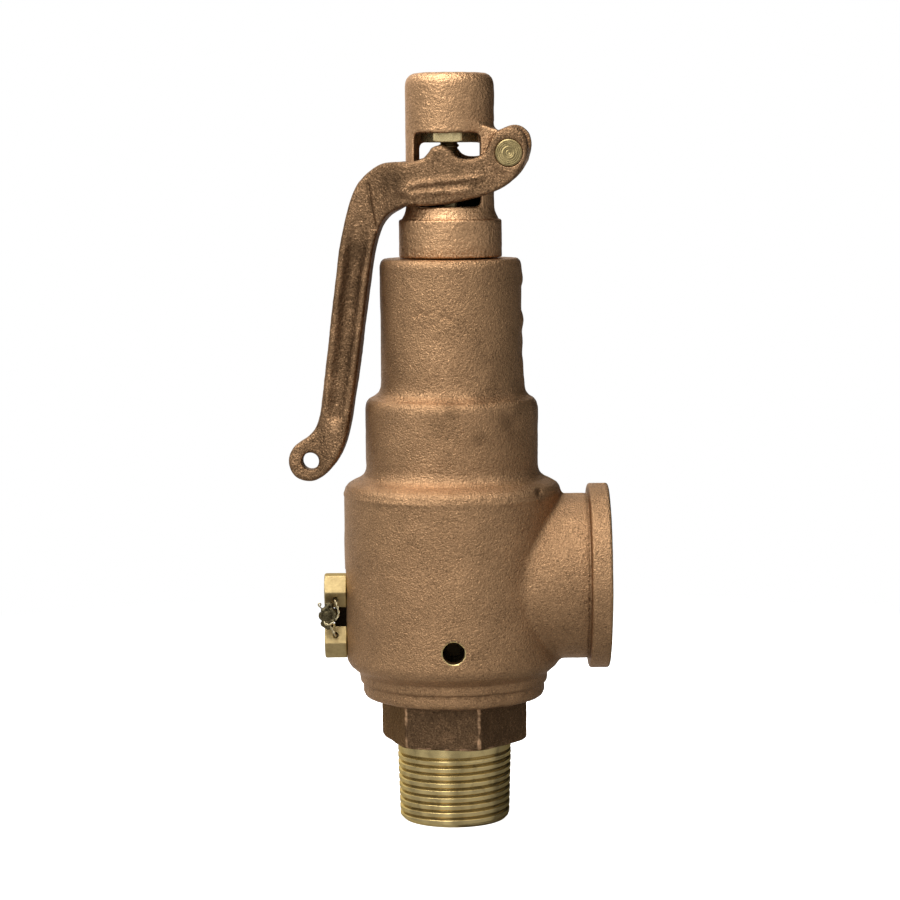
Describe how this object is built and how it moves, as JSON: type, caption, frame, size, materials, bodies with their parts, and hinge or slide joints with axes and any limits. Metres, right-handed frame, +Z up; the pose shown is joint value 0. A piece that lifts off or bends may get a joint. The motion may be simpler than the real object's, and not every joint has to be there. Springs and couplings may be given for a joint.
{
  "type": "pressure relief valve",
  "caption": "Cast bronze pressure relief valve with a threaded male inlet below, a female side outlet, a spring bonnet, a windowed cap and a hand test lever.",
  "frame": {"origin": "centre of the inlet bore at the inlet's bottom face", "axes": "+Z up along the spindle, +X out of the side outlet, -Y towards the drain hole"},
  "size_m": [0.0941, 0.0636, 0.2191],
  "materials": {
    "cast_bronze": "sand-cast, matt, granular",
    "lever_bronze": "sand-cast, darker, matt",
    "nozzle_bronze": "cast hexagon, machined thread",
    "machined_brass": "turned, satin",
    "screw_brass": "turned, satin, yellow",
    "stem_brass": "turned, dark",
    "steel": "machined",
    "spring_steel": "drawn wire",
    "lead": "dull lead, crimped",
    "seal_wire": "fine drawn wire"
  },
  "bodies": {
    "valve": {"body_casting": "cast_bronze", "nozzle": "nozzle_bronze", "lower_regulating_ring": "machined_brass", "upper_regulating_ring": "machined_brass", "disc_guide": "machined_brass", "upper_set_screw": "screw_brass", "lower_set_screw": "screw_brass", "seal_wire": "seal_wire", "lead_seal": "lead", "upper_spring_step": "steel", "compression_screw": "machined_brass", "compression_lock_nut": "machined_brass", "cap": "cast_bronze"},
    "spindle": {"stem": "stem_brass", "disc_holder": "machined_brass", "valve_disc": "machined_brass", "stem_cross_pin": "steel", "lower_spring_step": "steel", "lift_nut": "machined_brass", "lift_jam_nut": "machined_brass", "spring": "spring_steel"},
    "test_lever": {"lever": "lever_bronze", "lever_pin": "screw_brass"}
  },
  "joints": [
    {"name": "lever_hinge", "type": "hinge", "parent": "valve", "child": "test_lever", "pos_m": [0.01775, -0.00134, 0.19587], "axis": [0.075, 0.9972, 0], "range_deg": [0, 9]},
    {"name": "spindle_lift", "type": "slide", "parent": "valve", "child": "spindle", "axis": [0, 0, 1], "range_m": [0, 0.0026], "stiffness_N_per_m": 2500, "springref_m": -0.006, "deforming": ["spring"]}
  ],
  "couplings": [
    {"joint": "spindle_lift", "follows": "lever_hinge", "m_per_rad": 0.0155}
  ]
}
